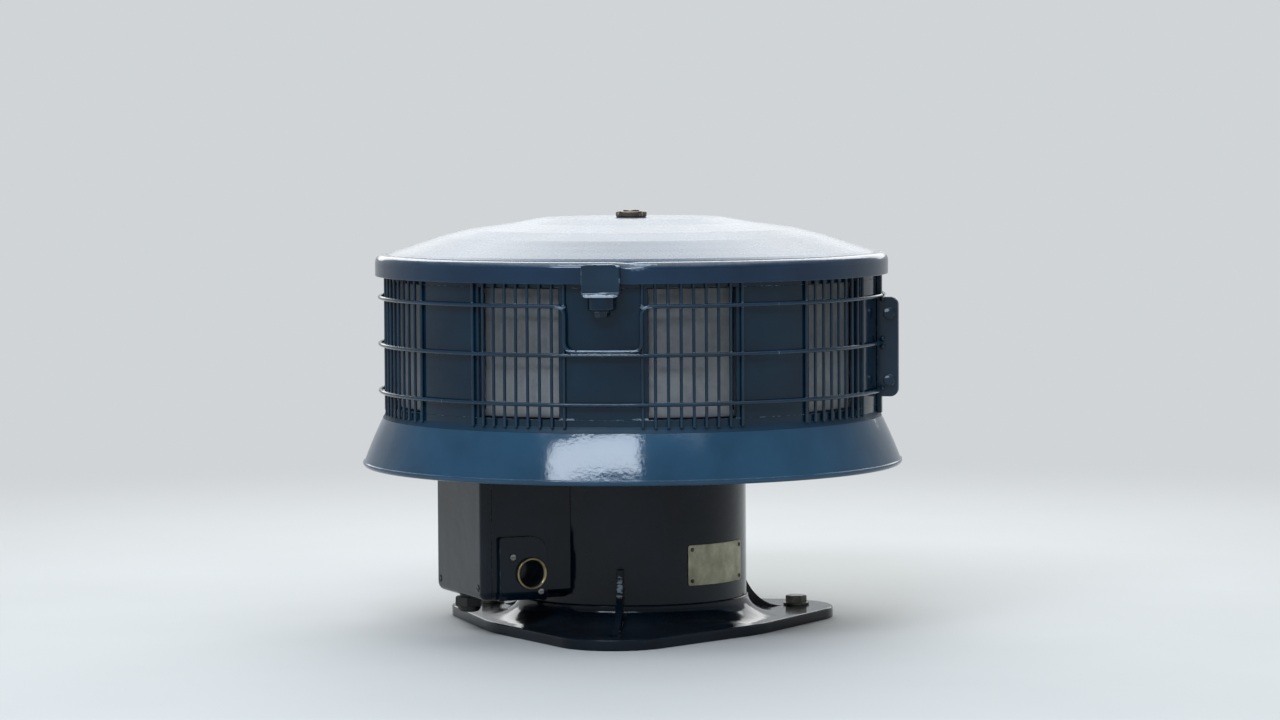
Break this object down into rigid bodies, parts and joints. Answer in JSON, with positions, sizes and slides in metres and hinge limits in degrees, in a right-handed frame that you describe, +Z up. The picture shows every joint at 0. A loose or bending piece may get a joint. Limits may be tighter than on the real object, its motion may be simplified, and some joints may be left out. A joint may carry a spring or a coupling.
{
  "type": "civil defence motor siren",
  "caption": "Mushroom-shaped motor siren head: a ported stator behind a wire guard, a spinning rotor, a flared skirt and a domed lid on a round motor with an eared foot.",
  "frame": {"origin": "on the rotor axis, at the underside of the foot", "axes": "+Z up along the rotor axis; the front ear of the foot and the front lid lug are on -Y"},
  "size_m": [0.7, 0.7, 0.54],
  "materials": {
    "foot_paint": "gloss paint on a casting, worn at the edges",
    "housing_paint": "gloss paint",
    "skirt_paint": "high gloss paint on spun sheet",
    "stator_paint": "gloss paint",
    "lid_paint": "high gloss paint, weathered on top",
    "grille_paint": "gloss paint on wire",
    "inlet_brass": "bare, dulled",
    "gland_plastic": "satin moulded",
    "plate_aluminium": "dull, bare, no lettering",
    "plug_steel": "bare, tarnished",
    "rotor_aluminium": "cast, dull grey",
    "shaft_steel": "turned"
  },
  "bodies": {
    "siren_body": {"base_foot": "foot_paint", "motor_housing": "housing_paint", "motor_end_shield": "housing_paint", "terminal_box": "housing_paint", "terminal_box_cover": "housing_paint", "cable_entry_boss": "housing_paint", "skirt": "skirt_paint", "stator_deck": "stator_paint", "stator_top_ring": "stator_paint", "stator_segment_1": "stator_paint", "stator_segment_2": "stator_paint", "stator_segment_3": "stator_paint", "stator_segment_4": "stator_paint", "stator_segment_5": "stator_paint", "stator_segment_6": "stator_paint", "stator_segment_7": "stator_paint", "stator_segment_8": "stator_paint", "stator_segment_9": "stator_paint", "lid_rim": "lid_paint", "lid_dome": "lid_paint", "lid_lug_1": "lid_paint", "lid_lug_2": "lid_paint", "lid_lug_3": "lid_paint", "grille_panel_1": "grille_paint", "grille_panel_2": "grille_paint", "grille_panel_3": "grille_paint", "grille_panel_4": "grille_paint", "grille_panel_5": "grille_paint", "grille_panel_6": "grille_paint", "grille_panel_7": "grille_paint", "grille_panel_8": "grille_paint", "grille_panel_9": "grille_paint", "grille_clamp_front": "grille_paint", "grille_clamp_rear": "grille_paint", "cable_entry_ring": "inlet_brass", "blind_gland": "gland_plastic", "rating_plate": "plate_aluminium", "top_plug": "plug_steel"},
    "rotor": {"rotor_hub": "rotor_aluminium", "rotor_top_disc": "rotor_aluminium", "rotor_bottom_ring": "rotor_aluminium", "rotor_segments": "rotor_aluminium", "rotor_blades": "rotor_aluminium", "motor_shaft": "shaft_steel"}
  },
  "joints": [
    {"name": "rotor_spin", "type": "hinge", "parent": "siren_body", "child": "rotor", "pos_m": [0, 0, 0.262], "axis": [0, 0, 1], "continuous": true}
  ]
}
